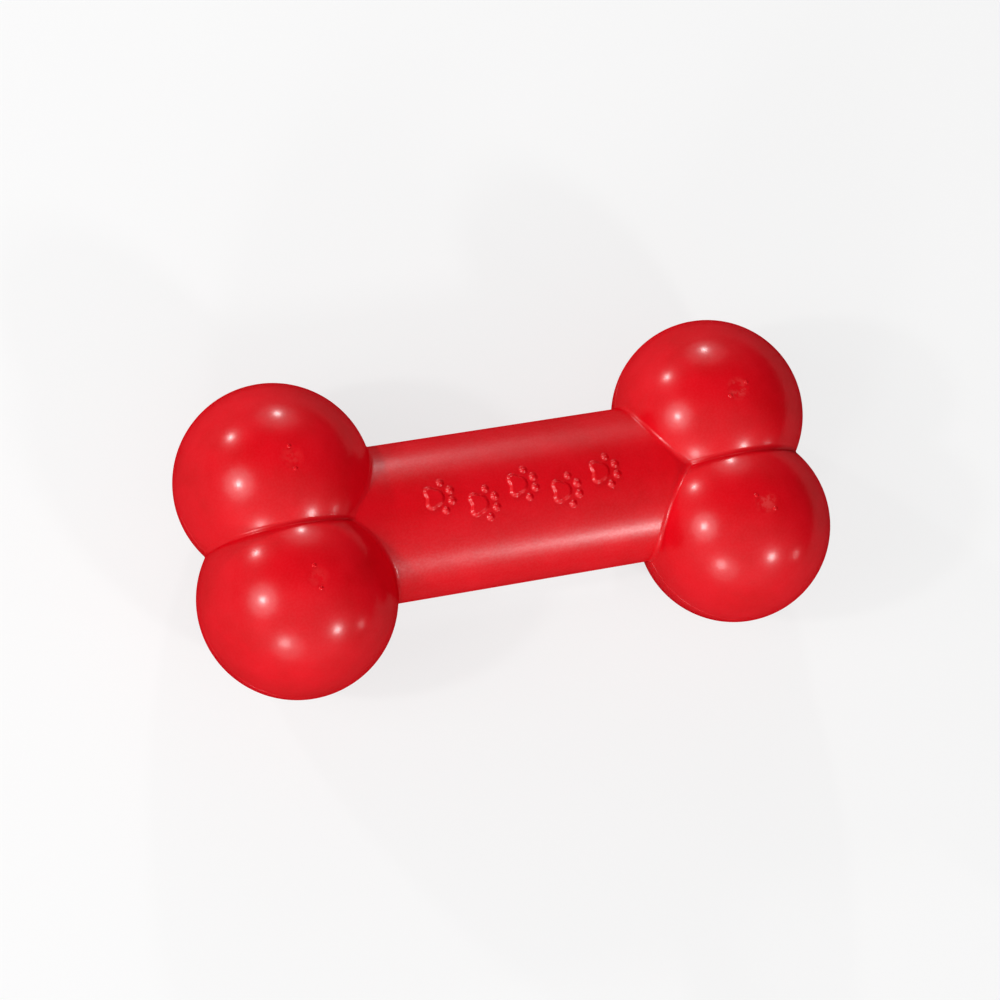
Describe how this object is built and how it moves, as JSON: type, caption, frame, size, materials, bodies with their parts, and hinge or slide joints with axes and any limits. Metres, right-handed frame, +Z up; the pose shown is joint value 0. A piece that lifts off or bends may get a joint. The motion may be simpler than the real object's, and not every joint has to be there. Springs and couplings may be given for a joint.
{
  "type": "rubber chew toy",
  "caption": "Hollow rubber bone with round knuckles and an oval shaft, made of two bonded half shells with a reed squeaker snapped into its underside.",
  "frame": {"origin": "on the floor under the middle of the bone, which lies flat on its four knuckles", "axes": "+X along the bone, +Y across a pair of knuckles, +Z up out of the side with the raised motif"},
  "size_m": [0.201, 0.096, 0.0599],
  "materials": {
    "red_rubber": "glossy moulded rubber",
    "white_plastic": "satin moulded plastic",
    "reed_film": "smooth thin plastic film"
  },
  "bodies": {
    "root": {"upper_shell": "red_rubber", "lower_shell": "red_rubber", "squeaker_housing": "white_plastic", "squeaker_cap": "white_plastic", "reed_barrel": "white_plastic", "reed_trough": "white_plastic", "reed": "reed_film", "reed_wedge": "white_plastic"}
  },
  "joints": []
}
